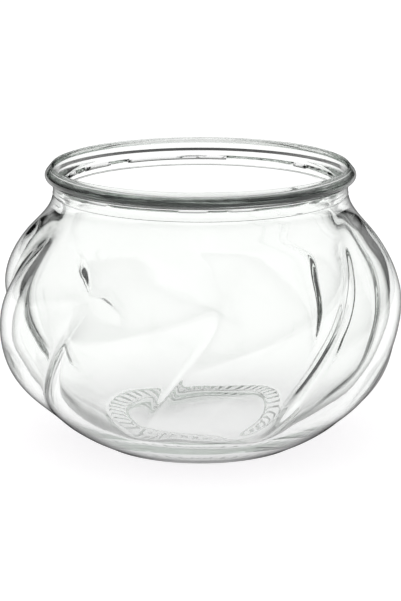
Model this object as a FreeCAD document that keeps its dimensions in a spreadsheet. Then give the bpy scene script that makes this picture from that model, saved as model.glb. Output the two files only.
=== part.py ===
# Rose bowl vase of clear pressed glass, 80 mm tall.
# The vase stands on its knurled ring at Z = 0, and its axis is the Z axis.
# The glass is divided at its own zones, from the top down: rim, neck, shoulder,
# upper belly, lower belly, heel, base and resting ring.
# Each zone meets its neighbours face to face, from the same sizes.
import FreeCAD
import Part
import math
import os
import Sketcher

# Driving sizes in millimetres, angles in degrees
SIZES = (
    ("vase_height", 80.0),
    ("rim_outer_radius", 44.2),
    ("bead_radius", 2.35),
    ("neck_wall", 2.3),
    ("tuck_radius", 0.8),
    ("seam_depth", 8.0),
    ("seam_radius", 0.15),
    ("belly_radius", 58.95),
    ("belly_height", 37.0),
    ("shoulder_height", 54.0),
    ("heel_height", 19.0),
    ("belly_wall", 3.3),
    ("lobe_relief", 5.1),
    ("inner_relief", 5.7),
    ("lobe_count", 8.0),
    ("swirl_angle", 50.0),
    ("valley_angle", -25.5),
    ("heel_radius", 38.45),
    ("heel_curve_radius", 30.0),
    ("floor_wall", 11.45),
    ("floor_height", 5.0),
    ("ring_height", 1.0),
    ("heel_step", 6.9),
    ("ring_draft", 1.85),
    ("ring_width", 7.5),
    ("push_up_depth", 2.0),
    ("knurl_length", 6.2),
    ("knurl_width", 1.7),
    ("knurl_depth", 0.4),
    ("knurl_count", 48.0),
)

# How far the bead reaches below its own centre, as a share of its radius
BEAD_DROP_SHARE = 0.885

# Wall under the belly: rise, outer swell, inner swell and lobe relief.
# Rise runs from the floor to the belly, and swell from the foot to the belly.
LOWER_WALL_SHARES = (
    (0.0, 0.0, 0.0, 0.0),
    (0.125, 0.274, 0.342, 0.30),
    (0.28, 0.560, 0.605, 0.54),
    (0.47, 0.781, 0.800, 0.75),
    (0.72, 0.931, 0.937, 0.95),
    (1.0, 1.0, 1.0, 1.0),
)

# Wall over the belly: rise runs from the belly to the seam line, and swell
# falls from the belly to the neck.
UPPER_WALL_SHARES = (
    (0.205, 0.976, 0.972, 1.0),
    (0.405, 0.830, 0.814, 1.0),
    (0.575, 0.618, 0.580, 0.95),
    (0.69, 0.425, 0.379, 0.82),
    (0.78, 0.246, 0.189, 0.58),
    (0.855, 0.118, 0.069, 0.24),
    (0.925, 0.040, 0.013, 0.0),
    (1.0, 0.0, 0.0, 0.0),
)

# Where a lobe's outline is measured, from its valley to the next valley, and
# half the width of a valley's rounded bottom, outside and inside.
# All are shares of one lobe.
LOBE_POINT_SHARES = (0.0, 0.025, 0.06, 0.12, 0.21, 0.35, 0.5, 0.65, 0.79, 0.88, 0.94, 0.975)
OUTER_ROUND_SHARE = 0.03
INNER_ROUND_SHARE = 0.06

doc = FreeCAD.newDocument("rose_bowl_vase")


def make_sheet():
    """Write every driving size into the spreadsheet under its own alias."""
    table = doc.addObject("Spreadsheet::Sheet", "sizes")
    for row, (alias, value) in enumerate(SIZES, start=1):
        table.set(f"A{row}", alias.replace("_", " "))
        table.set(f"B{row}", str(value))
        table.setAlias(f"B{row}", alias)
    doc.recompute()
    return table


sheet = make_sheet()


def size(alias):
    """Read one driving size from the spreadsheet."""
    return float(sheet.get(alias))


def mouth_radius():
    """Radius of the open mouth, inside the bead."""
    return size("rim_outer_radius") - 2 * size("bead_radius")


def neck_outer_radius():
    """Radius of the neck's plain outside, one wall out from the mouth."""
    return mouth_radius() + size("neck_wall")


def floor_radius():
    """Radius of the floor inside, one thick wall in from the heel."""
    return size("heel_radius") - size("floor_wall")


def waist_radius():
    """Radius where the heel runs into the resting ring."""
    return size("heel_radius") - size("heel_step")


def push_up_radius():
    """Radius of the hollow under the vase, inside the resting ring."""
    return waist_radius() - size("ring_draft") - size("ring_width")


def rim_foot_height():
    """Height of the plane between the rim and the neck."""
    return size("vase_height") - (1 + BEAD_DROP_SHARE) * size("bead_radius")


def seam_height():
    """Height of the mould seam line, where the neck meets the bowl."""
    return size("vase_height") - size("seam_depth")


# The same places as expressions on the spreadsheet
BEAD_CENTRE_REACH = "sizes.rim_outer_radius - sizes.bead_radius"
BEAD_CENTRE_RISE = "sizes.vase_height - sizes.bead_radius"
RIM_FOOT_RISE = f"sizes.vase_height - (1 + {BEAD_DROP_SHARE}) * sizes.bead_radius"
MOUTH_REACH = "sizes.rim_outer_radius - 2 * sizes.bead_radius"
NECK_REACH = MOUTH_REACH + " + sizes.neck_wall"
WAIST_REACH = "sizes.heel_radius - sizes.heel_step"
RING_REACH = WAIST_REACH + " - sizes.ring_draft"
PUSH_UP_REACH = RING_REACH + " - sizes.ring_width"
SEAM_RISE = "sizes.vase_height - sizes.seam_depth"


def make_body(name):
    """Start an empty solid of its own for one zone of the glass."""
    body = doc.addObject("PartDesign::Body", name)
    body.Label = name
    return body


def make_sketch(body, name, plane_role):
    """Start a sketch on one of the body's own origin planes."""
    planes = [item for item in body.Origin.OriginFeatures if item.Role == plane_role]
    sketch = body.newObject("Sketcher::SketchObject", name)
    sketch.AttachmentSupport = [(planes[0], "")]
    sketch.MapMode = "FlatFace"
    return sketch


def add_line(sketch, start, end):
    """Draw a straight stretch of an outline."""
    first = FreeCAD.Vector(start[0], start[1], 0)
    last = FreeCAD.Vector(end[0], end[1], 0)
    return sketch.addGeometry(Part.LineSegment(first, last), False)


def add_arc(sketch, centre, radius, start_angle, end_angle):
    """Draw a round stretch of an outline, counter-clockwise, with angles in degrees."""
    axis = FreeCAD.Vector(0, 0, 1)
    circle = Part.Circle(FreeCAD.Vector(centre[0], centre[1], 0), axis, radius)
    start = math.radians(start_angle)
    end = math.radians(end_angle)
    return sketch.addGeometry(Part.ArcOfCircle(circle, start, end), False)


def join(sketch, first, first_point, second, second_point):
    """Make two stretches of an outline share one point."""
    sketch.addConstraint(Sketcher.Constraint("Coincident", first, first_point, second, second_point))


def flow(sketch, first, first_point, second, second_point):
    """Make one stretch of an outline run into the next without a corner."""
    sketch.addConstraint(Sketcher.Constraint("Tangent", first, first_point, second, second_point))


def level(sketch, *lines):
    """Keep straight stretches parallel to the table."""
    for line in lines:
        sketch.addConstraint(Sketcher.Constraint("Horizontal", line))


def upright(sketch, *lines):
    """Keep straight stretches parallel to the vase's axis."""
    for line in lines:
        sketch.addConstraint(Sketcher.Constraint("Vertical", line))


def hold(sketch, name, constraint, expression):
    """Add a dimension and bind it to the spreadsheet."""
    index = sketch.addConstraint(constraint)
    sketch.renameConstraint(index, name)
    sketch.setExpression("Constraints." + name, expression)


def hold_reach(sketch, name, geometry, point, value, expression):
    """Hold one point's distance from the vase's axis."""
    hold(sketch, name, Sketcher.Constraint("DistanceX", -1, 1, geometry, point, value), expression)


def hold_rise(sketch, name, geometry, point, value, expression):
    """Hold one point's height above the table."""
    hold(sketch, name, Sketcher.Constraint("DistanceY", -1, 1, geometry, point, value), expression)


def hold_radius(sketch, name, geometry, value, expression):
    """Hold one arc's radius."""
    hold(sketch, name, Sketcher.Constraint("Radius", geometry, value), expression)


def revolve(body, sketch, name):
    """Turn an outline once round the vase's axis."""
    turned = body.newObject("PartDesign::Revolution", name)
    turned.Profile = sketch
    turned.ReferenceAxis = (sketch, ["V_Axis"])
    turned.Angle = 360.0
    doc.recompute()
    return turned


def make_rim():
    """Round bead that closes the top of the neck."""
    body = make_body("rim")
    sketch = make_sketch(body, "rim_outline", "XZ_Plane")
    bead = size("bead_radius")
    centre = (size("rim_outer_radius") - bead, size("vase_height") - bead)
    foot = rim_foot_height()
    low_angle = -math.asin(BEAD_DROP_SHARE)
    outer = centre[0] + bead * math.cos(low_angle)
    inner_side = add_line(sketch, (mouth_radius(), foot), (mouth_radius(), centre[1]))
    crown = add_arc(sketch, centre, bead, math.degrees(low_angle), 180)
    underside = add_line(sketch, (outer, foot), (mouth_radius(), foot))
    flow(sketch, inner_side, 2, crown, 2)
    join(sketch, crown, 1, underside, 1)
    join(sketch, underside, 2, inner_side, 1)
    level(sketch, underside)
    upright(sketch, inner_side)
    hold_radius(sketch, "bead", crown, bead, "sizes.bead_radius")
    hold_reach(sketch, "bead_reach", crown, 3, centre[0], BEAD_CENTRE_REACH)
    hold_rise(sketch, "bead_rise", crown, 3, centre[1], BEAD_CENTRE_RISE)
    hold_rise(sketch, "foot_rise", inner_side, 1, foot, RIM_FOOT_RISE)
    revolve(body, sketch, "rim_turned")
    return body


def make_neck():
    """Plain collar under the bead, with the fine raised seam line at its foot."""
    body = make_body("neck")
    sketch = make_sketch(body, "neck_outline", "XZ_Plane")
    mouth = mouth_radius()
    outer = neck_outer_radius()
    tuck = size("tuck_radius")
    ridge = size("seam_radius")
    top = rim_foot_height()
    seam = seam_height()
    inside = add_line(sketch, (mouth, seam), (mouth, top))
    upper = add_line(sketch, (mouth, top), (outer + tuck, top))
    hollow = add_arc(sketch, (outer + tuck, top - tuck), tuck, 90, 180)
    side = add_line(sketch, (outer, top - tuck), (outer, seam + 2 * ridge))
    bump = add_arc(sketch, (outer, seam + ridge), ridge, 270, 450)
    lower = add_line(sketch, (outer, seam), (mouth, seam))
    join(sketch, inside, 2, upper, 1)
    flow(sketch, upper, 2, hollow, 1)
    flow(sketch, hollow, 2, side, 1)
    join(sketch, side, 2, bump, 2)
    join(sketch, bump, 1, lower, 1)
    join(sketch, lower, 2, inside, 1)
    level(sketch, upper, lower)
    upright(sketch, inside, side)
    hold_radius(sketch, "tuck", hollow, tuck, "sizes.tuck_radius")
    hold_radius(sketch, "ridge", bump, ridge, "sizes.seam_radius")
    hold_reach(sketch, "mouth_reach", inside, 1, mouth, MOUTH_REACH)
    hold_rise(sketch, "top_rise", inside, 2, top, RIM_FOOT_RISE)
    hold_reach(sketch, "side_reach", side, 1, outer, NECK_REACH)
    hold_reach(sketch, "bump_reach", bump, 3, outer, NECK_REACH)
    hold_reach(sketch, "bump_foot", bump, 1, outer, NECK_REACH)
    hold_rise(sketch, "bump_rise", bump, 3, seam + ridge, SEAM_RISE + " + sizes.seam_radius")
    revolve(body, sketch, "neck_turned")
    return body


def lobe_drop(share, valley_round):
    """Fall from a lobe's crest, as a share of the relief, with a rounded valley."""
    from_valley = min(share, 1 - share)
    narrowing = math.sqrt(1 - 4 * valley_round ** 2)
    return (1 - 2 * math.hypot(from_valley * narrowing, valley_round)) ** 2


def lobed_ring(height, crest, relief, turn, valley_round):
    """One closed level outline of the lobed wall, turned by the swirl at its height."""
    count = int(round(size("lobe_count")))
    points = []
    turns = []
    for lobe in range(count):
        for share in LOBE_POINT_SHARES:
            angle = math.radians(turn) + 2 * math.pi * (lobe + share) / count
            radius = crest - relief * lobe_drop(share, valley_round)
            points.append(FreeCAD.Vector(radius * math.sin(angle), -radius * math.cos(angle), height))
            turns.append((lobe + share) / count)
    curve = Part.BSplineCurve()
    curve.interpolate(Points=points, PeriodicFlag=True, Parameters=turns + [1.0])
    return Part.Wire([curve.toShape()])


def wall_rings(foot_radius, belly_radius, neck_radius, relief, swell_column, valley_round):
    """Outlines of one side of the bowl's wall, from the floor up to the seam line."""
    floor = size("floor_height")
    belly = size("belly_height")
    seam = seam_height()
    rings = []
    for row in LOWER_WALL_SHARES + UPPER_WALL_SHARES:
        below = row in LOWER_WALL_SHARES
        start = floor if below else belly
        end = belly if below else seam
        height = start + (end - start) * row[0]
        side_radius = foot_radius if below else neck_radius
        crest = side_radius + (belly_radius - side_radius) * row[swell_column]
        climb = (height - floor) / (seam - floor)
        turn = size("valley_angle") + size("swirl_angle") * climb
        rings.append(lobed_ring(height, crest, relief * row[3], turn, valley_round))
    return rings


def make_loft(name, rings):
    """Solid through a stack of level outlines."""
    sections = []
    for index, ring in enumerate(rings, start=1):
        section = doc.addObject("Part::Feature", f"{name}_ring_{index}")
        section.Shape = ring
        sections.append(section)
    loft = doc.addObject("Part::Loft", name)
    loft.Sections = sections
    loft.Solid = True
    loft.Ruled = False
    return loft


def make_wall():
    """Thin wall whose slanting lobes swell between the floor and the seam line."""
    outer_rings = wall_rings(
        size("heel_radius"), size("belly_radius"), neck_outer_radius(),
        size("lobe_relief"), 1, OUTER_ROUND_SHARE)
    inner_rings = wall_rings(
        floor_radius(), size("belly_radius") - size("belly_wall"), mouth_radius(),
        size("inner_relief"), 2, INNER_ROUND_SHARE)
    wall = doc.addObject("Part::Cut", "wall")
    wall.Base = make_loft("wall_outside", outer_rings)
    wall.Tool = make_loft("wall_inside", inner_rings)
    doc.recompute()
    return wall


def make_band(wall, name, foot_rise, top_rise):
    """Level band of the wall between two heights, which are given as expressions."""
    slab = doc.addObject("Part::Box", name + "_slab")
    for side in ("Length", "Width"):
        slab.setExpression(side, "4 * sizes.belly_radius")
    slab.setExpression("Height", f"({top_rise}) - ({foot_rise})")
    slab.setExpression("Placement.Base.x", "-2 * sizes.belly_radius")
    slab.setExpression("Placement.Base.y", "-2 * sizes.belly_radius")
    slab.setExpression("Placement.Base.z", foot_rise)
    band = doc.addObject("Part::Common", name)
    band.Base = wall
    band.Tool = slab
    band.Label = name
    doc.recompute()
    return band


def make_bands():
    """The wall's four bands, from the shoulder under the neck down to the heel."""
    wall = make_wall()
    return [
        make_band(wall, "shoulder", "sizes.shoulder_height", SEAM_RISE),
        make_band(wall, "upper_belly", "sizes.belly_height", "sizes.shoulder_height"),
        make_band(wall, "lower_belly", "sizes.heel_height", "sizes.belly_height"),
        make_band(wall, "heel", "sizes.floor_height", "sizes.heel_height"),
    ]


def make_base():
    """Thick bottom: floor inside, heel outside, shallow dome underneath."""
    body = make_body("base")
    sketch = make_sketch(body, "base_outline", "XZ_Plane")
    heel = size("heel_radius")
    floor = size("floor_height")
    waist = waist_radius()
    ring = size("ring_height")
    push_up = push_up_radius()
    crown = size("push_up_depth")
    curve = size("heel_curve_radius")
    heel_centre, heel_start, heel_end = arc_between((waist, ring), (heel, floor), curve)
    rise = crown - ring
    dome_radius = (push_up ** 2 + rise ** 2) / (2 * rise)
    dome_centre = (0, crown - dome_radius)
    dome_angle = math.degrees(math.asin(push_up / dome_radius))
    top = add_line(sketch, (0, floor), (heel, floor))
    side = add_arc(sketch, heel_centre, curve, heel_start, heel_end)
    seat = add_line(sketch, (waist, ring), (push_up, ring))
    dome = add_arc(sketch, dome_centre, dome_radius, 90 - dome_angle, 90)
    middle = add_line(sketch, (0, crown), (0, floor))
    join(sketch, top, 2, side, 2)
    join(sketch, side, 1, seat, 1)
    join(sketch, seat, 2, dome, 1)
    join(sketch, dome, 2, middle, 1)
    join(sketch, middle, 2, top, 1)
    level(sketch, top, seat)
    upright(sketch, middle)
    hold_reach(sketch, "heel_reach", top, 2, heel, "sizes.heel_radius")
    hold_rise(sketch, "floor_rise", top, 2, floor, "sizes.floor_height")
    hold_reach(sketch, "waist_reach", side, 1, waist, WAIST_REACH)
    hold_rise(sketch, "waist_rise", side, 1, ring, "sizes.ring_height")
    hold_radius(sketch, "heel_curve", side, curve, "sizes.heel_curve_radius")
    hold_reach(sketch, "push_up_reach", dome, 1, push_up, PUSH_UP_REACH)
    hold_rise(sketch, "crown_rise", dome, 2, crown, "sizes.push_up_depth")
    sketch.addConstraint(Sketcher.Constraint("PointOnObject", dome, 3, -2))
    sketch.addConstraint(Sketcher.Constraint("PointOnObject", middle, 1, -2))
    revolve(body, sketch, "base_turned")
    return body


def arc_between(start, end, radius):
    """Centre and angles of the outward arc that joins two points of the heel."""
    half = math.dist(start, end) / 2
    middle = ((start[0] + end[0]) / 2, (start[1] + end[1]) / 2)
    back = math.sqrt(radius ** 2 - half ** 2)
    along = ((end[0] - start[0]) / (2 * half), (end[1] - start[1]) / (2 * half))
    centre = (middle[0] - back * along[1], middle[1] + back * along[0])
    angles = [math.degrees(math.atan2(p[1] - centre[1], p[0] - centre[0])) for p in (start, end)]
    return centre, angles[0], angles[1]


def make_resting_ring():
    """Low ring that the vase stands on, with radial knurls under its inner part."""
    body = make_body("resting_ring")
    sketch = make_sketch(body, "ring_outline", "XZ_Plane")
    push_up = push_up_radius()
    waist = waist_radius()
    outer = waist - size("ring_draft")
    ring = size("ring_height")
    inside = add_line(sketch, (push_up, ring), (push_up, 0))
    foot = add_line(sketch, (push_up, 0), (outer, 0))
    side = add_line(sketch, (outer, 0), (waist, ring))
    top = add_line(sketch, (waist, ring), (push_up, ring))
    join(sketch, inside, 2, foot, 1)
    join(sketch, foot, 2, side, 1)
    join(sketch, side, 2, top, 1)
    join(sketch, top, 2, inside, 1)
    level(sketch, top)
    upright(sketch, inside)
    sketch.addConstraint(Sketcher.Constraint("PointOnObject", foot, 1, -1))
    sketch.addConstraint(Sketcher.Constraint("PointOnObject", foot, 2, -1))
    hold_reach(sketch, "push_up_reach", foot, 1, push_up, PUSH_UP_REACH)
    hold_reach(sketch, "outer_reach", foot, 2, outer, RING_REACH)
    hold_reach(sketch, "waist_reach", side, 2, waist, WAIST_REACH)
    hold_rise(sketch, "ring_rise", side, 2, ring, "sizes.ring_height")
    turned = revolve(body, sketch, "ring_turned")
    cut_knurls(body, turned)
    return body


def cut_knurls(body, turned):
    """Cut one short radial groove under the ring and repeat it all the way round."""
    sketch = make_sketch(body, "knurl_outline", "XY_Plane")
    half = size("knurl_width") / 2
    start = push_up_radius() - size("knurl_width")
    end = push_up_radius() + size("knurl_length")
    left = add_line(sketch, (start, half), (start, -half))
    lower = add_line(sketch, (start, -half), (end, -half))
    right = add_line(sketch, (end, -half), (end, half))
    upper = add_line(sketch, (end, half), (start, half))
    join(sketch, left, 2, lower, 1)
    join(sketch, lower, 2, right, 1)
    join(sketch, right, 2, upper, 1)
    join(sketch, upper, 2, left, 1)
    level(sketch, lower, upper)
    upright(sketch, left, right)
    hold_reach(sketch, "start", lower, 1, start, PUSH_UP_REACH + " - sizes.knurl_width")
    hold_reach(sketch, "end", lower, 2, end, PUSH_UP_REACH + " + sizes.knurl_length")
    hold_rise(sketch, "upper_side", upper, 1, half, "sizes.knurl_width / 2")
    hold_rise(sketch, "lower_side", lower, 1, -half, "-sizes.knurl_width / 2")
    groove = body.newObject("PartDesign::Pocket", "knurl")
    groove.Profile = sketch
    groove.Reversed = True
    groove.setExpression("Length", "sizes.knurl_depth")
    doc.recompute()
    pattern = body.newObject("PartDesign::PolarPattern", "knurls")
    pattern.Originals = [groove]
    pattern.Axis = (sketch, ["N_Axis"])
    pattern.Angle = 360.0
    pattern.setExpression("Occurrences", "sizes.knurl_count")
    body.Tip = pattern
    doc.recompute()
    if pattern.Shape.Volume >= turned.Shape.Volume:
        raise RuntimeError("the knurls cut nothing")


def check_document(zones):
    """Stop unless every object computed and every zone is one sound solid."""
    for item in doc.Objects:
        faults = {"Invalid", "Error"} & set(item.State)
        if faults:
            raise RuntimeError(f"{item.Name} did not compute: {sorted(faults)}")
    for zone in zones:
        shape = zone.Shape
        if shape.isNull() or not shape.isValid() or len(shape.Solids) != 1:
            raise RuntimeError(f"{zone.Label} is not one valid solid")


def main():
    """Build every zone of the glass and write one file for each."""
    zones = [make_rim(), make_neck(), *make_bands(), make_base(), make_resting_ring()]
    doc.recompute()
    check_document(zones)
    os.makedirs("parts", exist_ok=True)
    for zone in zones:
        zone.Shape.exportStep(f"parts/{zone.Label}.step")
        print(zone.Label, "volume in cubic mm:", round(zone.Shape.Volume, 1))


main()
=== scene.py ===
"""The looks of the rose bowl vase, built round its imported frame.

The whole vase is one unbroken piece of clear pressed glass. Each zone of it is a class that
gives its stretch of the section, from the middle of the floor inside, up over the rim, and
down to the middle of the underside. The section is spun once into one closed skin, and the
lobes, the knurls and the slight unevenness of the inside are then worked into that skin.
"""
import logging
import math
from dataclasses import dataclass
from enum import Enum

import bmesh
import bpy
import numpy as np
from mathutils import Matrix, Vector, noise


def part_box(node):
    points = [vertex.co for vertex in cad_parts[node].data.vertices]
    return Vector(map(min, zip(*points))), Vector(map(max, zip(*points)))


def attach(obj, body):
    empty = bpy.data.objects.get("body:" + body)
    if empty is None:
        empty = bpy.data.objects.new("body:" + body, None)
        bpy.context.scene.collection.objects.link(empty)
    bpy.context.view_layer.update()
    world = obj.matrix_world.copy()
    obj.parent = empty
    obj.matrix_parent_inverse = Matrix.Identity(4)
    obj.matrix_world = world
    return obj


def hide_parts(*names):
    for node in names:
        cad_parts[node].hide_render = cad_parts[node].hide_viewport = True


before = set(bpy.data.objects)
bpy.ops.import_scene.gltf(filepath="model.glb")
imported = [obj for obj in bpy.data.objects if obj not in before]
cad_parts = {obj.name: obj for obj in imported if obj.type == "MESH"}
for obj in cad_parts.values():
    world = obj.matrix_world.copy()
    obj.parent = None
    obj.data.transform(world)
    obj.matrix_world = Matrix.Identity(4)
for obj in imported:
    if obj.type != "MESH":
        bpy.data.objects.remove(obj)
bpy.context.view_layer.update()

MM = 0.001
BODY = "root"
# Marks where the lip's outer face gets painted shade.
PAINTED_LIP_SHADE_ATTRIBUTE = "painted_lip_shade_mask"
CAD_NODES = (
    "rim", "neck", "shoulder", "upper_belly", "lower_belly", "heel", "base", "resting_ring",
)
LIP_WIDTH = 5.1 * MM  # from the mouth to the lip's outer radius
COLLAR_WALL = 2.9 * MM  # thickness of the glass in the collar
FLOOR_WALL = 11.45 * MM  # how much smaller the floor's radius is than the heel's
MOULD_STEPS = 2400  # how finely the mould's face is cut up for the inner face to follow
WELD = 0.001 * MM  # points nearer than this are one

log = logging.getLogger("rose_bowl_vase")


class Face(Enum):
    """Which face of the glass a stretch of the section lies on."""

    INSIDE = "inside"
    OUTSIDE = "outside"


@dataclass(frozen=True)
class Station:
    """One point of the vase's section, taken along a lobe's crest.

    Attributes:
        reach: Distance from the axis, in metres.
        rise: Height above the table, in metres.
        relief: How far the valleys between the lobes lie below the crest, in metres.
        knurl: How deep the knurls are cut there, in metres.
        face: The face of the glass that the point lies on.
    """

    reach: float
    rise: float
    relief: float = 0.0
    knurl: float = 0.0
    face: Face = Face.OUTSIDE


def srgb(code: str) -> tuple[float, float, float, float]:
    """Turn an sRGB hex colour into the linear colour that a shader takes.

    Args:
        code: Six hex digits, with or without a leading hash.

    Returns:
        Linear red, green, blue and an alpha of 1.
    """
    digits = code.lstrip("#")
    parts = [int(digits[i:i + 2], 16) / 255 for i in (0, 2, 4)]
    linear = [p / 12.92 if p <= 0.04045 else ((p + 0.055) / 1.055) ** 2.4 for p in parts]
    return (linear[0], linear[1], linear[2], 1.0)


def add_node(
    tree: bpy.types.NodeTree,
    kind: str,
    settings: dict[str, object] | None = None,
    links: dict[str | int, bpy.types.NodeSocket] | None = None,
    values: dict[str | int, object] | None = None,
) -> bpy.types.Node:
    """Add one node with its settings, its constants and its links.

    Args:
        tree: The node tree to add to.
        kind: The node's type name.
        settings: Attributes of the node itself.
        links: Output sockets that feed the node's inputs, by input name or number.
        values: Constants for the node's own inputs, by input name or number.

    Returns:
        The new node.
    """
    node = tree.nodes.new(kind)
    for name, value in (settings or {}).items():
        setattr(node, name, value)
    for name, value in (values or {}).items():
        node.inputs[name].default_value = value
    for name, socket in (links or {}).items():
        tree.links.new(socket, node.inputs[name])
    return node


def step_node(
    tree: bpy.types.NodeTree, share: bpy.types.NodeSocket, start: float, end: float
) -> bpy.types.NodeSocket:
    """Turn a share into a smooth step from 0 to 1.

    Args:
        tree: The node tree to add to.
        share: The share.
        start: Where the step starts.
        end: Where it is full.

    Returns:
        The stepped share.
    """
    step = add_node(tree, "ShaderNodeMapRange", {"interpolation_type": "SMOOTHSTEP"}, {
        "Value": share}, {"From Min": start, "From Max": end})
    return step.outputs[0]


def from_outside(
    tree: bpy.types.NodeTree, share: bpy.types.NodeSocket
) -> bpy.types.NodeSocket:
    """Keep a share where the skin is met from outside the glass, and drop it elsewhere.

    Args:
        tree: The node tree to add to.
        share: The share.

    Returns:
        The share from outside and 0 from within.
    """
    geometry = add_node(tree, "ShaderNodeNewGeometry")
    outer = add_node(tree, "ShaderNodeMath", {"operation": "SUBTRACT", "use_clamp": True}, {
        0: share, 1: geometry.outputs["Backfacing"]})
    return outer.outputs[0]


def put_in_order(skin: bmesh.types.BMesh) -> None:
    """Sort edges and faces by their points, so that each run stores the same mesh.

    Args:
        skin: The mesh, whose points are in a fixed order already.
    """
    skin.verts.index_update()
    bits = len(skin.verts).bit_length()

    def place(part: bmesh.types.BMEdge | bmesh.types.BMFace) -> int:
        """Fold the numbers of a part's first three points into one number.

        Args:
            part: An edge or a face.

        Returns:
            A number that no other part of its kind has.
        """
        number = 0
        for corner in sorted(vert.index for vert in part.verts)[:3]:
            number = (number << bits) + corner
        return number

    skin.edges.sort(key=place)
    skin.faces.sort(key=place)


def rounded(
    corners: list[tuple[float, float, float]], steps: int
) -> list[tuple[float, float]]:
    """Points along a run of straight stretches whose corners are rounded.

    Args:
        corners: Reach, rise and rounding radius of each corner, both ends included.
        steps: How many steps each rounded corner has.

    Returns:
        Reach and rise of each point.
    """
    points = [corners[0][:2]]
    for before, corner, after in zip(corners, corners[1:], corners[2:]):
        here, radius = Vector(corner[:2]), corner[2]
        back = (Vector(before[:2]) - here).normalized()
        ahead = (Vector(after[:2]) - here).normalized()
        half = math.acos(max(-1.0, min(1.0, back.dot(ahead)))) / 2
        if radius == 0:
            points.append((here.x, here.y))
            continue
        centre = here + (back + ahead).normalized() * (radius / math.sin(half))
        first = here + back * (radius / math.tan(half)) - centre
        last = here + ahead * (radius / math.tan(half)) - centre
        turn = math.atan2(first.cross(last), first.dot(last))
        start = math.atan2(first.y, first.x)
        for i in range(steps + 1):
            angle = start + turn * i / steps
            points.append(
                (centre.x + radius * math.cos(angle), centre.y + radius * math.sin(angle)))
    points.append(corners[-1][:2])
    return points


def smooth_run(knots: list[tuple[float, ...]], steps: int) -> list[tuple[float, ...]]:
    """Points along the smooth curve that passes through some knots.

    The curve is a natural cubic spline over the length of the straight lines between the
    knots. Its first two columns are a place, and the others ride along.

    Args:
        knots: The knots, each a row of numbers.
        steps: How many steps of about equal length the curve is cut into.

    Returns:
        One row of numbers for each point, both ends included.
    """
    rows = np.array(knots, float)
    gaps = np.linalg.norm(np.diff(rows[:, :2], axis=0), axis=1)
    at = np.concatenate(([0.0], np.cumsum(gaps)))
    count = len(at)
    matrix = np.eye(count)
    right = np.zeros_like(rows)
    for i in range(1, count - 1):
        matrix[i, i - 1:i + 2] = gaps[i - 1], 2 * (gaps[i - 1] + gaps[i]), gaps[i]
        slopes = (rows[i + 1] - rows[i]) / gaps[i] - (rows[i] - rows[i - 1]) / gaps[i - 1]
        right[i] = 6 * slopes
    bends = np.linalg.solve(matrix, right)
    found = []
    for where in np.linspace(0.0, at[-1], steps + 1):
        i = min(int(np.searchsorted(at, where, side="right")) - 1, count - 2)
        ahead = (where - at[i]) / gaps[i]
        behind = 1 - ahead
        sag = (behind ** 3 - behind) * bends[i] + (ahead ** 3 - ahead) * bends[i + 1]
        found.append(tuple(behind * rows[i] + ahead * rows[i + 1] + sag * gaps[i] ** 2 / 6))
    return found


@dataclass(frozen=True)
class Rim:
    """The lip at the top: a slanting inside, a narrow crest and a full outer face.

    Attributes:
        radius: The lip's outer radius.
        top: Height of the vase.
        mouth: Radius of the open mouth.
        edge_depth: How far the mouth's edge lies below the top.
        edge_round: Rounding of the mouth's edge.
        bend_setback: How far the slant's upper end lies inside the outer radius.
        bend_depth: How far it lies below the top.
        bend_round: Rounding where the slant turns up to the crest.
        crest_setback: How far the crest's corner lies inside the outer radius.
        crest_excess: How far that corner stands over the top before it is rounded.
        crest_round: Rounding of the crest.
        hem_depth: How far the hem, where the lip is widest, lies below the top.
        hem_excess: How far the hem's corner stands out before it is rounded.
        hem_round: Rounding of the hem.
        painted_shade_depth: How far below the top the painted shade on the outer face starts.
        painted_shade_blend: Over what height it starts.
        painted_shade_foot: How far below the top it ends.
        steps: How many steps each rounding has.
    """

    radius: float
    top: float
    mouth: float
    edge_depth: float = 4.75 * MM
    edge_round: float = 2.1 * MM
    bend_setback: float = 1.57 * MM
    bend_depth: float = 1.57 * MM
    bend_round: float = 1.65 * MM
    crest_setback: float = 2.8 * MM
    crest_excess: float = 1.3 * MM
    crest_round: float = 0.25 * MM
    hem_depth: float = 3.25 * MM
    hem_excess: float = 0.86 * MM
    hem_round: float = 1.5 * MM
    painted_shade_depth: float = 0.8 * MM
    painted_shade_blend: float = 0.3 * MM
    painted_shade_foot: float = 4.8 * MM
    steps: int = 12

    def corners(self) -> list[tuple[float, float, float]]:
        """The lip's corners, from the mouth over the top.

        Returns:
            Reach, rise and rounding of each corner.
        """
        return [
            (self.mouth, self.top - self.edge_depth, self.edge_round),
            (self.radius - self.bend_setback, self.top - self.bend_depth, self.bend_round),
            (self.radius - self.crest_setback, self.top + self.crest_excess, self.crest_round),
            (self.radius + self.hem_excess, self.top - self.hem_depth, self.hem_round),
        ]

    def painted_lip_shade_shares(self, section: list[Station]) -> list[float]:
        """How far each station belongs to the lip's outer face, which gets painted shade.

        Args:
            section: The stations, which run over the lip from the inside out.

        Returns:
            Shares that are 1 on the outer face and 0 elsewhere.
        """
        crest = max(range(len(section)), key=lambda number: section[number].rise)
        shares = []
        for number, station in enumerate(section):
            depth = self.top - station.rise
            outer = number > crest and depth < self.painted_shade_foot
            share = (depth - self.painted_shade_depth) / self.painted_shade_blend
            shares.append(max(0.0, min(1.0, share)) if outer else 0.0)
        return shares


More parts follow.
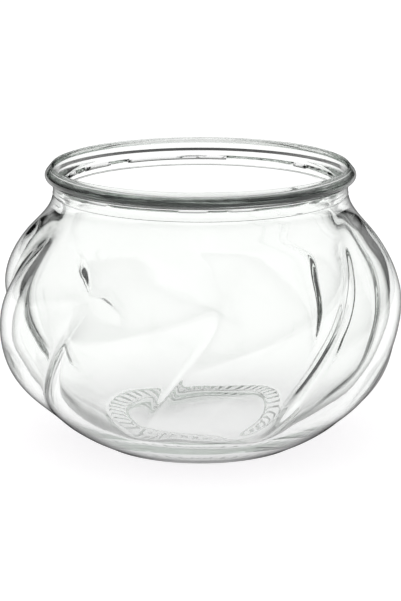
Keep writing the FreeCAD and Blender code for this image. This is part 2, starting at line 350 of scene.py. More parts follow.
@dataclass(frozen=True)
class Neck:
    """The plain collar under the lip, with the mould's fine seam line at its foot.

    Attributes:
        rim: The lip over it.
        radius: Outer radius of the collar.
        foot: Height of the seam line.
        tuck_depth: How far the tuck under the lip lies below the top.
        tuck_round: Rounding of the tuck.
        ridge: How far the seam line stands out.
        spread: Half the width of the seam line.
        ridge_steps: How many steps each flank of the seam line has.
    """

    rim: Rim
    radius: float
    foot: float
    tuck_depth: float = 4.9 * MM
    tuck_round: float = 1.0 * MM
    ridge: float = 0.15 * MM
    spread: float = 0.28 * MM
    ridge_steps: int = 4

    def stations(self, start: float) -> list[Station]:
        """The section from the mouth over the lip and down past the seam line.

        Args:
            start: Height at which the inner face ends under the mouth's edge.

        Returns:
            The stations of lip and collar.
        """
        line = []
        for step in range(-self.ridge_steps, self.ridge_steps + 1):
            share = step / self.ridge_steps
            swell = self.ridge * (1 + math.cos(math.pi * share)) / 2
            line.append((self.radius + swell, self.foot - share * self.spread))
        tuck = (self.radius, self.rim.top - self.tuck_depth, self.tuck_round)
        corners = [(self.rim.mouth, start, 0.0), *self.rim.corners(), tuck, (*line[0], 0.0)]
        lip = rounded(corners, self.rim.steps)
        return [Station(*point) for point in [*lip[1:-1], *line]]


# Lower wall, from the floor to the belly: share of the height, share of the way from the foot's
# radius to the belly's for the outside and for the inside, and share of the lobes' full depth.
LOWER_WALL_SHARES = (
    (0.125, 0.274, 0.342, 0.30),
    (0.28, 0.560, 0.605, 0.54),
    (0.47, 0.781, 0.800, 0.75),
    (0.72, 0.931, 0.937, 0.95),
    (1.0, 1.0, 1.0, 1.0),
)

# Upper wall, from the belly to the seam line: the same, with the way from the neck's radius.
UPPER_WALL_SHARES = (
    (0.205, 0.976, 0.972, 1.0),
    (0.405, 0.830, 0.814, 1.0),
    (0.575, 0.618, 0.580, 0.95),
    (0.69, 0.425, 0.379, 0.82),
    (0.78, 0.246, 0.189, 0.58),
    (0.855, 0.118, 0.069, 0.24),
    (0.925, 0.040, 0.013, 0.0),
)


@dataclass(frozen=True)
class Wall:
    """The thin lobed wall between the floor and the seam line.

    Attributes:
        floor: Height of the floor inside.
        seam: Height of the seam line.
        heel: Outer radius where the wall leaves the heel.
        neck: Outer radius of the neck.
        mouth: Inner radius of the neck.
        belly: Radius of the crests at their widest.
        belly_rise: Height where the crests are widest.
        thickness: Thickness of the glass at the belly's crests.
        relief: Depth of the valleys between the lobes.
        outside_steps: How many steps the outside has.
        inside_steps: How many steps the inside has.
    """

    floor: float
    seam: float
    heel: float
    neck: float
    mouth: float
    belly: float = 58.95 * MM
    belly_rise: float = 37.0 * MM
    thickness: float = 3.3 * MM
    relief: float = 5.1 * MM
    outside_steps: int = 84
    inside_steps: int = 66

    def knots(self, face: Face) -> list[tuple[float, float, float]]:
        """Reach, rise and relief where the wall is measured, from the bottom up.

        The inside has no relief of its own here, because its lobes come from the outside.

        Args:
            face: The face of the wall.

        Returns:
            The knots of that face.
        """
        outside = face is Face.OUTSIDE
        belly = self.belly if outside else self.belly - self.thickness
        foot = self.heel if outside else self.heel - FLOOR_WALL
        neck = self.neck if outside else self.mouth
        relief = self.relief if outside else 0.0
        found = []
        for start, low, high, shares in (
            (foot, self.floor, self.belly_rise, LOWER_WALL_SHARES),
            (neck, self.belly_rise, self.seam, UPPER_WALL_SHARES),
        ):
            for climb, outer, inner, depth in shares:
                reach = start + (belly - start) * (outer if outside else inner)
                found.append((reach, low + (high - low) * climb, relief * depth))
        return found

    def mould(self, foot_knots: list[tuple[float, float, float]], steps: int) -> np.ndarray:
        """The outer face as the mould shapes it, from the resting ring up to the seam line.

        Args:
            foot_knots: Knots of the heel under the wall, from the bottom up.
            steps: How many steps it is cut into.

        Returns:
            One row of reach, rise and relief for each point.
        """
        knots = [*foot_knots, *self.knots(Face.OUTSIDE), (self.neck, self.seam, 0.0)]
        run = np.array(smooth_run(knots, steps))
        run[:, 2] = np.maximum(run[:, 2], 0.0)
        return run

    def outside(self, foot_knots: list[tuple[float, float, float]], top: float) -> list[Station]:
        """The outer face, from under the seam line down to the resting ring.

        Args:
            foot_knots: Knots of the heel under the wall, from the bottom up.
            top: Height at which the wall starts under the seam line.

        Returns:
            The stations of the outer face.
        """
        run = self.mould(foot_knots, self.outside_steps)[::-1]
        return [Station(*row) for row in run.tolist() if row[1] < top]

    def inside(self, floor_knots: list[tuple[float, float, float]], top: float) -> list[Station]:
        """The inner face, from the middle of the floor up to the mouth.

        Args:
            floor_knots: Knots of the floor inside the wall, from the middle out.
            top: Height at which the wall reaches the lip.

        Returns:
            The stations of the inner face.
        """
        collar = [(self.mouth, rise, 0.0) for rise in (self.seam, (self.seam + top) / 2, top)]
        knots = [*floor_knots, *self.knots(Face.INSIDE), *collar]
        run = smooth_run(knots, self.inside_steps)
        return [Station(reach, rise, face=Face.INSIDE) for reach, rise, _ in run]


# Heel, from the ring to the wall: share of the way out and share of the way up.
HEEL_SHARES = ((0.0, 0.0), (0.42, 0.37), (1.0, 1.0))

# Floor inside, from the middle to the wall: share of its radius, and height over its middle.
FLOOR_SHARES = ((0.0, 0.0), (0.35, 0.0), (0.7, 0.02 * MM), (1.0, 0.35 * MM))


@dataclass(frozen=True)
class Base:
    """The thick bottom, with its knurled resting ring and the shallow push-up inside it.

    Attributes:
        heel: Outer radius where the wall starts.
        floor: Height of the floor inside.
        ring_rise: Height of the resting ring.
        heel_step: How far the ring's waist lies inside the heel.
        ring_draft: How much the ring narrows down to the table.
        ring_width: Width of the ring where it stands.
        push_up: Height of the hollow under the middle of the vase.
        edge: Rounding of the ring's edges.
        edge_steps: How many steps each of those roundings has.
        lead: How far out and up the heel lies from the waist where the rounding takes its slope.
        ledge: Width of the flat between the ring and the dome of the hollow.
        dome_steps: How many steps the dome has.
        knurl_length: How far out from the hollow the knurls run.
        knurl_depth: How deep the knurls are cut.
        knurl_fade: Share of their length over which they run out at the outer end.
        knurl_steps: How many steps they have along their length.
    """

    heel: float
    floor: float
    ring_rise: float = 1.0 * MM
    heel_step: float = 6.9 * MM
    ring_draft: float = 1.85 * MM
    ring_width: float = 7.5 * MM
    push_up: float = 2.0 * MM
    edge: float = 0.45 * MM
    edge_steps: int = 5
    lead: tuple[float, float] = (0.3 * MM, 0.16 * MM)
    ledge: float = 1.5 * MM
    dome_steps: int = 8
    knurl_length: float = 6.2 * MM
    knurl_depth: float = 0.4 * MM
    knurl_fade: float = 0.25
    knurl_steps: int = 8

    @property
    def waist(self) -> float:
        """The waist between heel and ring.

        Returns:
            Radius where the heel runs into the ring.
        """
        return self.heel - self.heel_step

    @property
    def hollow(self) -> float:
        """The hollow inside the ring.

        Returns:
            Radius of the hollow.
        """
        return self.waist - self.ring_draft - self.ring_width

    def heel_knots(self) -> list[tuple[float, float, float]]:
        """The heel's outer face, from the ring up to the wall.

        Returns:
            Reach, rise and relief of each knot.
        """
        climb = self.floor - self.ring_rise
        return [
            (self.waist + out * self.heel_step, self.ring_rise + up * climb, 0.0)
            for out, up in HEEL_SHARES
        ]

    def floor_knots(self) -> list[tuple[float, float, float]]:
        """The floor inside, from the middle out to the wall.

        Returns:
            Reach, rise and relief of each knot.
        """
        radius = self.heel - FLOOR_WALL
        return [(out * radius, self.floor + lift, 0.0) for out, lift in FLOOR_SHARES]

    def underside(self) -> list[Station]:
        """The section under the vase, from the heel to the middle.

        Returns:
            The stations of the ring, the knurls and the hollow.
        """
        outer = self.waist - self.ring_draft
        crown_rise = self.push_up - self.ring_rise
        dome = (self.hollow ** 2 + crown_rise ** 2) / (2 * crown_rise)
        ring = rounded(
            [
                (self.waist + self.lead[0], self.ring_rise + self.lead[1], 0.0),
                (self.waist, self.ring_rise, self.edge),
                (outer, 0.0, self.edge),
                (self.hollow, 0.0, self.edge),
                (self.hollow, self.ring_rise, self.edge),
                (self.hollow - self.ledge, self.ring_rise, 0.0),
            ],
            self.edge_steps,
        )
        found = [Station(reach, rise) for reach, rise in ring[1:-1]]
        flat = [i for i, station in enumerate(found) if station.rise < WELD]
        found[flat[0] + 1:flat[-1]] = self.knurl_stations(outer)
        for i in range(1, self.dome_steps + 1):
            reach = (self.hollow - self.edge) * (1 - i / self.dome_steps)
            found.append(Station(reach, self.push_up - dome + math.sqrt(dome ** 2 - reach ** 2)))
        return found

    def knurl_stations(self, outer: float) -> list[Station]:
        """The flat of the ring, where the knurls rise and fall away.

        Args:
            outer: Outer radius of the ring on the table.

        Returns:
            The stations between the ring's two rounded edges.
        """
        found = []
        start = self.hollow + self.edge
        end = self.hollow + self.knurl_length
        for step in range(self.knurl_steps, 0, -1):
            share = step / self.knurl_steps
            reach = start + (end - start) * share
            depth = self.knurl_depth * min(1.0, (1 - share) / self.knurl_fade)
            found.append(Station(reach, 0.0, knurl=depth))
        return [Station((outer - self.edge + end) / 2, 0.0), *found]


@dataclass(frozen=True)
class Lobes:
    """The slanting lobes, the knurls and the slight unevenness of the glass.

    The mould gives the outside its lobes. The hot glass lies against it with an even thickness,
    so inside the crests follow and a sharp valley comes out as a soft rounded ridge.

    Attributes:
        mould: Reach, rise and relief along the outer face, from the bottom up.
        floor: Height where the slant starts.
        seam: Height where the slant ends.
        relief: Full depth of the valleys outside.
        count: Number of lobes.
        valley_angle: Where a valley meets the floor, in degrees from the front.
        swirl: How far the lobes turn between floor and seam, in degrees.
        valley_round: Half the width of a valley's rounded bottom, as a share of a lobe.
        fading_round: How much rounder a valley gets where the lobes fade out.
        upper_round: How much rounder it gets on its way from half height up to the seam line.
        ridge_sharpness: How sharp the ridge inside a valley is, from 0 for round to 1 for sharp.
        ridge_reach: How far that ridge reaches to each side, in half widths of the valley's
            rounded bottom.
        crowding: How strongly the mesh gathers in the valleys.
        knurls: Number of knurls.
        wave: How far the inside strays from its true form.
        wave_length: Spacing of those waves.
        probe_turn: Turn in radians to each side by which the outer face's slope is measured.
        probe_climb: The same along the section, in metres.
    """

    mould: np.ndarray
    floor: float
    seam: float
    relief: float
    count: int = 8
    valley_angle: float = -25.5
    swirl: float = 50.0
    valley_round: float = 0.016
    fading_round: float = 0.2
    upper_round: float = 0.15
    ridge_sharpness: float = 0.5
    ridge_reach: float = 3.0
    crowding: float = 0.80
    knurls: int = 48
    wave: float = 0.13 * MM
    wave_length: float = 9.0 * MM
    probe_turn: float = 0.0004
    probe_climb: float = 0.02 * MM

    def turn(self, rise: np.ndarray) -> np.ndarray:
        """Angle by which the lobes are turned at a height.

        Args:
            rise: Heights in the plain skin.

        Returns:
            One angle in radians for each height.
        """
        climb = np.clip((rise - self.floor) / (self.seam - self.floor), 0.0, 1.0)
        return np.radians(self.valley_angle + self.swirl * climb)

    def drop(self, angle: np.ndarray, rise: np.ndarray, relief: np.ndarray) -> np.ndarray:
        """Fall from a crest, as a share of the relief, with a rounded valley.

        Args:
            angle: Angle from a valley, in radians.
            rise: Height in the plain skin.
            relief: Depth of the valleys there.

        Returns:
            Shares that are 0 at a crest and nearly 1 in a valley.
        """
        lobe = self.count * angle / (2 * math.pi)
        from_valley = np.abs(lobe - np.round(lobe))
        edge = self.edge(rise, relief)
        return (1 - 2 * np.sqrt(from_valley ** 2 * (1 - 4 * edge ** 2) + edge ** 2)) ** 2

    def edge(self, rise: np.ndarray, relief: np.ndarray) -> np.ndarray:
        """Half the width of a valley's rounded bottom, as a share of a lobe.

        Args:
            rise: Height in the plain skin.
            relief: Depth of the valleys there.

        Returns:
            One width for each height.
        """
        fading = self.fading_round * (1 - np.minimum(1.0, relief / self.relief)) ** 2
        middle = (self.floor + self.seam) / 2
        climb = np.clip((rise - middle) / (self.seam - middle), 0.0, 1.0)
        return self.valley_round + fading + self.upper_round * climb

    def crowd(self, spun: np.ndarray) -> np.ndarray:
        """Move angles of the spun skin towards the nearer valley, where the form is sharpest.

        Args:
            spun: Angles round the axis, in radians.

        Returns:
            One angle from a valley for each of them.
        """
        return spun - self.crowding * np.sin(self.count * spun) / self.count

    def lobed(self, angle: np.ndarray, rows: np.ndarray) -> np.ndarray:
        """Where points of the outer face lie once it has its lobes.

        Args:
            angle: Angle from a valley, in radians.
            rows: Reach, rise and relief of each point.

        Returns:
            One place for each point.
        """
        reach, rise, relief = rows.T
        out = reach - relief * self.drop(angle, rise, relief)
        turned = angle + self.turn(rise)
        return np.stack((out * np.sin(turned), -out * np.cos(turned), rise), axis=1)

    def outward(self, angle: np.ndarray, rows: np.ndarray, slopes: np.ndarray) -> np.ndarray:
        """The direction that the lobed outer face looks in.

        Args:
            angle: Angle from a valley, in radians.
            rows: Reach, rise and relief of each point.
            slopes: How fast each of them changes along the section.

        Returns:
            One unit vector for each point.
        """
        turn = self.probe_turn
        around = self.lobed(angle + turn, rows) - self.lobed(angle - turn, rows)
        climb = slopes * self.probe_climb
        along = self.lobed(angle, rows + climb) - self.lobed(angle, rows - climb)
        normal = np.cross(around, along)
        return normal / np.linalg.norm(normal, axis=1, keepdims=True)

    def inside(self, angle: np.ndarray, reach: np.ndarray, rise: np.ndarray) -> np.ndarray:
        """Where points of the inner face lie.

        Each station keeps its distance from the nearest point of the mould, now square to the
        lobed face instead of the plain one.

        Args:
            angle: Angle from a valley, in radians.
            reach: Distance from the axis in the plain skin.
            rise: Height in the plain skin.

        Returns:
            One place for each point.
        """
        pieces = np.linalg.norm(np.diff(self.mould[:, :2], axis=0), axis=1)
        length = np.concatenate(([0.0], np.cumsum(pieces)))
        steepness = np.gradient(self.mould, length, axis=0)
        plain = np.stack((reach, rise), axis=1)
        stations, back = np.unique(plain.round(9), axis=0, return_inverse=True)
        gaps = np.linalg.norm(self.mould[None, :, :2] - stations[:, None], axis=2)
        nearest = gaps.argmin(axis=1)[back.ravel()]
        rows, slopes = self.mould[nearest], steepness[nearest]
        lobed = self.lobed(angle, rows)
        lobed_out = self.outward(angle, rows, slopes)
        no_relief = np.array([1.0, 1.0, 0.0])
        flat = self.lobed(angle, rows * no_relief)
        flat_out = self.outward(angle, rows * no_relief, slopes * no_relief)
        turned = angle + self.turn(rows[:, 1])
        here = np.stack((reach * np.sin(turned), -reach * np.cos(turned), rise), axis=1)
        thickness = np.sum((flat - here) * flat_out, axis=1, keepdims=True)
        ridge = self.ridge(angle, rows, slopes, lobed_out)[:, None]
        thickness = thickness * (1 + self.ridge_sharpness * ridge)
        return here + (lobed - thickness * lobed_out) - (flat - thickness * flat_out)

    def ridge(
        self, angle: np.ndarray, rows: np.ndarray, slopes: np.ndarray, out: np.ndarray
    ) -> np.ndarray:
        """How much thicker the glass is under a valley whose ridge inside is sharp.

        Args:
            angle: Angle from a valley, in radians.
            rows: Reach, rise and relief of the nearest point of the mould.
            slopes: How fast each of them changes along the section.
            out: The direction that the lobed outer face looks in.

        Returns:
            The added thickness as a share of the thickness.
        """
        lobe = 2 * math.pi / self.count
        valley = np.round(angle / lobe) * lobe
        flank = self.ridge_reach * self.edge(rows[:, 1], rows[:, 2]) * lobe
        middle = self.outward(valley, rows, slopes)
        side = self.outward(valley + np.where(angle < valley, -flank, flank), rows, slopes)
        full = np.arccos(np.clip(np.sum(middle * side, axis=1), -1.0, 1.0))
        turned = np.arccos(np.clip(np.sum(middle * out, axis=1), -1.0, 1.0))
        left = np.where(np.abs(angle - valley) < flank, np.clip(full - turned, 0.0, 1.0), 0.0)
        return 1 / np.cos(left) - 1

    def waved(self, places: np.ndarray) -> np.ndarray:
        """Let the inner face stray a little from its true form, as hot glass does.

        Args:
            places: Points of the inner face.

        Returns:
            The same points, each moved slightly towards or away from the axis.
        """
        strays = np.array(
            [noise.noise(Vector(place) / self.wave_length) for place in places.tolist()])
        reach = np.hypot(places[:, 0], places[:, 1])
        moved = places.copy()
        moved[:, :2] *= (1 + self.wave * strays / np.maximum(reach, self.wave_length))[:, None]
        return moved

    def underside(
        self, spun: np.ndarray, reach: np.ndarray, rise: np.ndarray, knurl: np.ndarray
    ) -> np.ndarray:
        """Where points of the outer face lie that have no lobes, with the knurls cut in.

        Args:
            spun: Angle round the axis, in radians.
            reach: Distance from the axis.
            rise: Height in the plain skin.
            knurl: How deep the knurls are cut.

        Returns:
            One place for each point.
        """
        groove = (1 + np.cos(self.knurls * spun)) / 2
        lift = knurl * groove ** 2 * (3 - 2 * groove)
        turned = spun + math.radians(self.valley_angle)
        return np.stack((reach * np.sin(turned), -reach * np.cos(turned), rise + lift), axis=1)

    def work(self, section: list[Station], numbers: np.ndarray, places: np.ndarray) -> np.ndarray:
        """Work lobes and knurls into the spun skin.

        Args:
            section: The stations that the skin was spun from.
            numbers: Which station each point comes from.
            places: The points of the spun skin.

        Returns:
            The points' new places.
        """
        spun = np.arctan2(places[:, 0], -places[:, 1])
        reach, rise = np.hypot(places[:, 0], places[:, 1]), places[:, 2]
        relief = np.array([station.relief for station in section])[numbers]
        knurl = np.array([station.knurl for station in section])[numbers]
        within = np.array([station.face is Face.INSIDE for station in section])[numbers]
        angle = self.crowd(spun)
        found = self.lobed(angle, np.stack((reach, rise, relief), axis=1))
        found[within] = self.waved(self.inside(angle[within], reach[within], rise[within]))
        cut = knurl > 0
        found[cut] = self.underside(spun[cut], reach[cut], rise[cut], knurl[cut])
        return found


@dataclass(frozen=True)
class SodaLimeGlass:
    """Clear soda-lime glass, pressed in a two-part mould and fire-polished.

    Its surface is as smooth as a liquid's, so the eye sees what it bends and mirrors, and painted
    shade where the outside turns away from the eye and on the lip's outer face.
    Thick glass has a faint green cast, and the inside keeps low waves from the plunger.

    Attributes:
        ior: Refractive index.
        roughness: How far the polished skin scatters light.
        clear: What is left of the light that meets the skin more squarely.
        edge: Painted shade, the dark colour of the glass where its skin turns from the eye.
        painted_edge_shade_start: Share of the turn away from the eye where that painted shade
            starts.
        painted_edge_shade_end: The same where it is darkest.
        painted_shade_line: Colour of the painted shade, a dark line where the outside turns away
        from the eye. Line and painted edge shade stand in for the dark edges that the photo's
        glass has.
        painted_shade_line_start: Share of the turn away from the eye where that line starts.
        painted_shade_line_end: The same where it is full.
        lip: Painted shade, the dark colour given to light that enters the lip's outer face. It
        stands in for the dark band that the photo shows there, which the form alone doesn't give.
        painted_lip_streak: Colour of the painted light in the streaks across the lip's painted
            shade.
        painted_streak_grain: How fine the painted streaks are along X, Y and Z, per metre.
        painted_streak_start: Noise at which a streak starts.
        painted_streak_end: Noise at which it is full.
        tint: Colour that white light keeps after a long way through the glass.
        density: How strongly the glass takes up light, per metre.
        shade: How much of a lamp's light passes through to the table.
    """

    ior: float = 1.52
    roughness: float = 0.0
    clear: str = "#FBFCFB"
    # Painted shade where the skin turns away from the eye.
    edge: str = "#3A3D3B"
    painted_edge_shade_start: float = 0.60
    painted_edge_shade_end: float = 0.88
    # Painted shade: a dark line along the outline.
    painted_shade_line: str = "#2A2D2B"
    painted_shade_line_start: float = 0.76
    painted_shade_line_end: float = 0.98
    # Painted shade on the lip's outer face, with lighter painted streaks in it.
    lip: str = "#101211"
    painted_lip_streak: str = "#B4B9B6"
    painted_streak_grain: tuple[float, float, float] = (38.0, 38.0, 1500.0)
    painted_streak_start: float = 0.50
    painted_streak_end: float = 0.70
    tint: str = "#DBE4DD"
    density: float = 9.0
    shade: str = "#F6F5F6"

    def material(self) -> bpy.types.Material:
        """Make the glass, with its surface and the colour of its body.

        Returns:
            The material.
        """
        made = bpy.data.materials.new("pressed_soda_lime_glass_with_painted_shade")
        made.use_nodes = True
        tree = made.node_tree
        tree.nodes.clear()
        facing = add_node(tree, "ShaderNodeLayerWeight", values={"Blend": 0.5})
        # Painted shade: the glass darkens towards the edge colour where the skin turns away from
        # the eye.
        painted_edge_shade_mask = step_node(tree, facing.outputs["Facing"], self.painted_edge_shade_start, self.painted_edge_shade_end)
        painted_edge_colour = add_node(tree, "ShaderNodeMix", {"data_type": "RGBA"}, {0: painted_edge_shade_mask}, {
            6: srgb(self.clear), 7: srgb(self.edge)})
        # Painted shade on the lip's outer face.
        colour = self.painted_lip_shade(tree, painted_edge_colour.outputs[2])
        skin = add_node(tree, "ShaderNodeBsdfPrincipled", links={"Base Color": colour}, values={
            "Metallic": 0.0,
            "Roughness": self.roughness,
            "IOR": self.ior,
            "Transmission Weight": 1.0,
        })
        clear = add_node(tree, "ShaderNodeBsdfTransparent", values={"Color": srgb(self.shade)})
        path = add_node(tree, "ShaderNodeLightPath")
        plain = add_node(tree, "ShaderNodeMath", {"operation": "MAXIMUM"}, {
            0: path.outputs["Is Shadow Ray"], 1: path.outputs["Is Diffuse Ray"]})
        # The skin gets a painted dark line of shade along its outline.
        surface = add_node(tree, "ShaderNodeMixShader", links={
            0: plain.outputs[0],
            1: self.with_painted_shade_line(tree, skin.outputs[0], facing.outputs["Facing"]),
            2: clear.outputs[0],
        })
        body = add_node(tree, "ShaderNodeVolumeAbsorption", values={
            "Color": srgb(self.tint),
            "Density": self.density,
        })
        add_node(tree, "ShaderNodeOutputMaterial", links={
            "Surface": surface.outputs[0],
            "Volume": body.outputs[0],
        })
        return made

    def with_painted_shade_line(
        self, tree: bpy.types.NodeTree, skin: bpy.types.NodeSocket, facing: bpy.types.NodeSocket
    ) -> bpy.types.NodeSocket:
        """Paint a dark line of shade where the outside turns away from the eye.

        Args:
            tree: The material's nodes.
            skin: The polished skin.
            facing: How far the surface turns away from the eye.

        Returns:
            The skin with its painted line of shade.
        """
        # Painted shade: a dark matt shader takes over where the outside turns away from the eye.
        turned = step_node(tree, facing, self.painted_shade_line_start, self.painted_shade_line_end)
        dark = add_node(tree, "ShaderNodeBsdfDiffuse", values={"Color": srgb(self.painted_shade_line)})
        painted_shade_mix = add_node(tree, "ShaderNodeMixShader", links={
            0: from_outside(tree, turned), 1: skin, 2: dark.outputs[0]})
        return painted_shade_mix.outputs[0]

    def painted_lip_shade(
        self, tree: bpy.types.NodeTree, painted_edge_colour: bpy.types.NodeSocket
    ) -> bpy.types.NodeSocket:
        """Paint shade over light that enters the lip's outer face, with lighter painted streaks
        that run round the lip.

        Args:
            tree: The material's nodes.
            painted_edge_colour: Colour of the light that passes elsewhere, with its painted edge
                shade.

        Returns:
            Colour of the light that passes anywhere, with the lip's painted shade.
        """
        # Painted shade: light entering the lip's outer face turns dark, with lighter painted
        # streaks.
        face = add_node(tree, "ShaderNodeAttribute", {
            "attribute_type": "GEOMETRY", "attribute_name": PAINTED_LIP_SHADE_ATTRIBUTE})
        where = add_node(tree, "ShaderNodeTexCoord")
        drawn = add_node(tree, "ShaderNodeVectorMath", {"operation": "MULTIPLY"}, {
            0: where.outputs["Object"]}, {1: self.painted_streak_grain})
        streaks = add_node(tree, "ShaderNodeTexNoise", links={"Vector": drawn.outputs[0]}, values={
            "Scale": 1.0, "Detail": 2.0})
        sharp = step_node(tree, streaks.outputs[0], self.painted_streak_start, self.painted_streak_end)
        lip = add_node(tree, "ShaderNodeMix", {"data_type": "RGBA"}, {0: sharp}, {
            6: srgb(self.lip), 7: srgb(self.painted_lip_streak)})
        painted_shade_mix = add_node(tree, "ShaderNodeMix", {"data_type": "RGBA"}, {
            0: from_outside(tree, face.outputs["Fac"]), 6: painted_edge_colour, 7: lip.outputs[2]})
        return painted_shade_mix.outputs[2]


@dataclass(frozen=True)
class VaseGlass:
    """The finished glass, put together from its zones.

    Attributes:
        rim: The lip.
        neck: The collar.
        wall: The lobed wall.
        base: The bottom.
        lobes: What is worked into the spun skin.
        glass: The finish.
        steps: How many steps the spin has.
    """

    rim: Rim
    neck: Neck
    wall: Wall
    base: Base
    lobes: Lobes
    glass: SodaLimeGlass
    steps: int = 384

    @classmethod
    def from_frame(cls) -> "VaseGlass":
        """Take the driving sizes from the frame's own nodes.

        Returns:
            The vase, ready to build.
        """
        rim_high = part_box("rim")[1]
        neck_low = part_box("neck")[0]
        base_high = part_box("base")[1]
        rim = Rim(radius=rim_high.x, top=rim_high.z, mouth=rim_high.x - LIP_WIDTH)
        neck = Neck(rim=rim, radius=rim.mouth + COLLAR_WALL, foot=neck_low.z)
        wall = Wall(
            floor=base_high.z,
            seam=neck_low.z,
            heel=base_high.x,
            neck=neck.radius,
            mouth=rim.mouth,
        )
        base = Base(heel=base_high.x, floor=base_high.z)
        mould = wall.mould(base.heel_knots(), MOULD_STEPS)
        lobes = Lobes(mould=mould, floor=base_high.z, seam=neck_low.z, relief=wall.relief)
        return cls(rim, neck, wall, base, lobes, SodaLimeGlass())

    def section(self) -> list[Station]:
        """The whole section, from the middle of the floor to the middle underneath.

        Returns:
            Its stations, in order.
        """
        inside = self.wall.inside(self.base.floor_knots(), self.rim.top - self.neck.tuck_depth)
        collar = self.neck.stations(inside[-1].rise)
        outside = self.wall.outside(self.base.heel_knots(), collar[-1].rise)
        return [*inside, *collar, *outside[1:-1], *self.base.underside()]

    def spin(self, section: list[Station]) -> bmesh.types.BMesh:
        """Spin the section into a closed skin and work the lobes and knurls into it.

        Args:
            section: The stations of the section.

        Returns:
            The skin as a mesh that is ready to be stored.
        """
        skin = bmesh.new()
        row = skin.verts.layers.int.new("station")
        # This layer marks where the lip's painted shade goes.
        lip = skin.verts.layers.float.new(PAINTED_LIP_SHADE_ATTRIBUTE)
        chain = [skin.verts.new((0.0, -station.reach, station.rise)) for station in section]
        for number, vert in enumerate(chain):
            vert[row] = number
        edges = [skin.edges.new(pair) for pair in zip(chain, chain[1:])]
        bmesh.ops.spin(
            skin, geom=chain + edges, cent=(0.0, 0.0, 0.0), axis=(0.0, 0.0, 1.0),
            dvec=(0.0, 0.0, 0.0), angle=2 * math.pi, steps=self.steps,
            use_merge=True, use_duplicate=False)
        bmesh.ops.remove_doubles(skin, verts=skin.verts, dist=WELD)
        put_in_order(skin)
        numbers = np.array([vert[row] for vert in skin.verts])
        places = self.lobes.work(section, numbers, np.array([vert.co[:] for vert in skin.verts]))
        shares = self.rim.painted_lip_shade_shares(section)
        for vert, place in zip(skin.verts, places.tolist()):
            vert.co = place
            vert[lip] = shares[vert[row]]
        bmesh.ops.recalc_face_normals(skin, faces=skin.faces)
        for face in skin.faces:
            face.smooth = True
        return skin

    def build(self) -> bpy.types.Object:
        """Make the vase and dress it.

        Returns:
            The vase's object.
        """
        skin = self.spin(self.section())
        mesh = bpy.data.meshes.new("vase_glass")
        skin.to_mesh(mesh)
        skin.free()
        vase = bpy.data.objects.new("vase_glass", mesh)
        bpy.context.scene.collection.objects.link(vase)
        mesh.materials.append(self.glass.material())
        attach(vase, BODY)
        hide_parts(*CAD_NODES)
        triangles = sum(len(polygon.vertices) - 2 for polygon in mesh.polygons)
        log.info("vase_glass: %d vertices, %d triangles", len(mesh.vertices), triangles)
        return vase


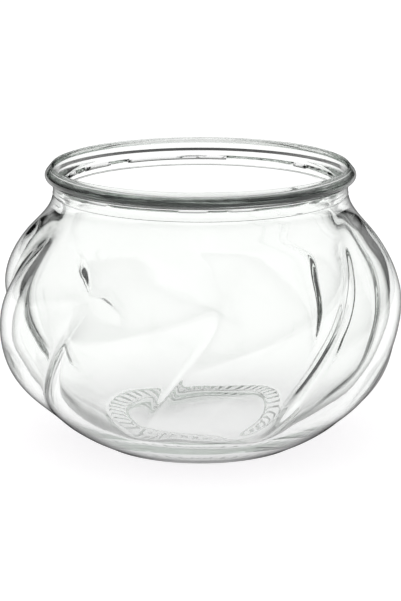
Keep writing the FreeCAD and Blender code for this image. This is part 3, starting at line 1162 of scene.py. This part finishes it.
@dataclass(frozen=True)
class Studio:
    """The pale table, the soft light all round it and the camera.

    Attributes:
        table_size: Side of the table's sheet.
        camera_distance: Distance of the camera in front of the vase.
        camera_rise: Height of the camera.
        target_rise: Height that the camera looks at.
        lens: Focal length in millimetres.
        glow: Light that the paper adds to what it sends back.
        sky: Strength of the surroundings.
        band: Height in the surroundings, as the sine of its angle, and the colour there.
        bounces: How often light may pass or mirror before it is lost, as glass needs.
    """

    table_size: float = 12.0
    camera_distance: float = 0.700
    camera_rise: float = 0.2125
    target_rise: float = 0.0398
    lens: float = 149.85
    glow: float = 0.35
    sky: float = 0.98
    band: tuple[tuple[float, str], ...] = (
        (0.0, "#F4F4F4"),
        (0.03, "#1A1A1A"),
        (0.13, "#1A1A1A"),
        (0.26, "#B0B0B0"),
        (0.42, "#E6E6E6"),
        (0.90, "#FFFFFF"),
    )
    bounces: int = 24

    def table(self) -> bpy.types.Object:
        """Lay the pale sheet that the vase stands on.

        Returns:
            The sheet's object.
        """
        sheet = bmesh.new()
        bmesh.ops.create_grid(sheet, x_segments=1, y_segments=1, size=self.table_size / 2)
        mesh = bpy.data.meshes.new("table")
        sheet.to_mesh(mesh)
        sheet.free()
        table = bpy.data.objects.new("table", mesh)
        bpy.context.scene.collection.objects.link(table)
        mesh.materials.append(self.paper())
        return table

    def paper(self) -> bpy.types.Material:
        """Make the paper, which shows as white and still takes the vase's soft shadow.

        Returns:
            The material.
        """
        made = bpy.data.materials.new("white_paper")
        made.use_nodes = True
        tree = made.node_tree
        tree.nodes.clear()
        matt = add_node(tree, "ShaderNodeBsdfDiffuse", values={"Color": srgb("#F4F4F4")})
        glow = add_node(tree, "ShaderNodeEmission", values={
            "Color": srgb("#FFFFFF"), "Strength": self.glow})
        path = add_node(tree, "ShaderNodeLightPath")
        seen = add_node(tree, "ShaderNodeMath", {"operation": "MAXIMUM"}, {
            0: path.outputs["Is Camera Ray"], 1: path.outputs["Is Glossy Ray"]})
        seen = add_node(tree, "ShaderNodeMath", {"operation": "MAXIMUM"}, {
            0: seen.outputs[0], 1: path.outputs["Is Transmission Ray"]})
        lit = add_node(tree, "ShaderNodeAddShader", links={0: matt.outputs[0], 1: glow.outputs[0]})
        mix = add_node(tree, "ShaderNodeMixShader", links={
            0: seen.outputs[0], 1: matt.outputs[0], 2: lit.outputs[0]})
        add_node(tree, "ShaderNodeOutputMaterial", links={"Surface": mix.outputs[0]})
        return made

    def world(self) -> None:
        """Hang the soft white surroundings, with a dark band low down behind the table's edge."""
        made = bpy.data.worlds.new("soft_studio")
        made.use_nodes = True
        tree = made.node_tree
        tree.nodes.clear()
        where = add_node(tree, "ShaderNodeTexCoord")
        split = add_node(tree, "ShaderNodeSeparateXYZ", links={0: where.outputs["Generated"]})
        band = add_node(tree, "ShaderNodeValToRGB", links={0: split.outputs["Z"]})
        stops = band.color_ramp
        stops.interpolation = "EASE"
        for stop, (place, colour) in zip(stops.elements, (self.band[0], self.band[-1])):
            stop.position, stop.color = place, srgb(colour)
        for place, colour in self.band[1:-1]:
            stops.elements.new(place).color = srgb(colour)
        sky = add_node(tree, "ShaderNodeBackground", links={"Color": band.outputs[0]}, values={
            "Strength": self.sky})
        add_node(tree, "ShaderNodeOutputWorld", links={"Surface": sky.outputs[0]})
        bpy.context.scene.world = made

    def camera(self) -> bpy.types.Object:
        """Set the camera at the photograph's viewing angle.

        Returns:
            The camera's object.
        """
        data = bpy.data.cameras.new("camera")
        data.lens = self.lens
        data.clip_start = 0.01
        data.clip_end = 50.0
        camera = bpy.data.objects.new("camera", data)
        bpy.context.scene.collection.objects.link(camera)
        camera.location = (0.0, -self.camera_distance, self.camera_rise)
        aim = Vector((0.0, 0.0, self.target_rise)) - camera.location
        camera.rotation_euler = aim.to_track_quat("-Z", "Y").to_euler()
        bpy.context.scene.camera = camera
        return camera

    def build(self) -> None:
        """Set up the table, the surroundings and the camera."""
        self.table()
        self.world()
        self.camera()
        bpy.context.scene.view_settings.view_transform = "Standard"
        cycles = bpy.context.scene.cycles
        cycles.max_bounces = self.bounces
        cycles.transmission_bounces = self.bounces
        cycles.glossy_bounces = self.bounces
        log.info("studio: table, surroundings and camera")


def main() -> None:
    """Build the vase and its studio."""
    logging.basicConfig(level=logging.INFO)
    VaseGlass.from_frame().build()
    Studio().build()


if __name__ == "__main__":
    main()
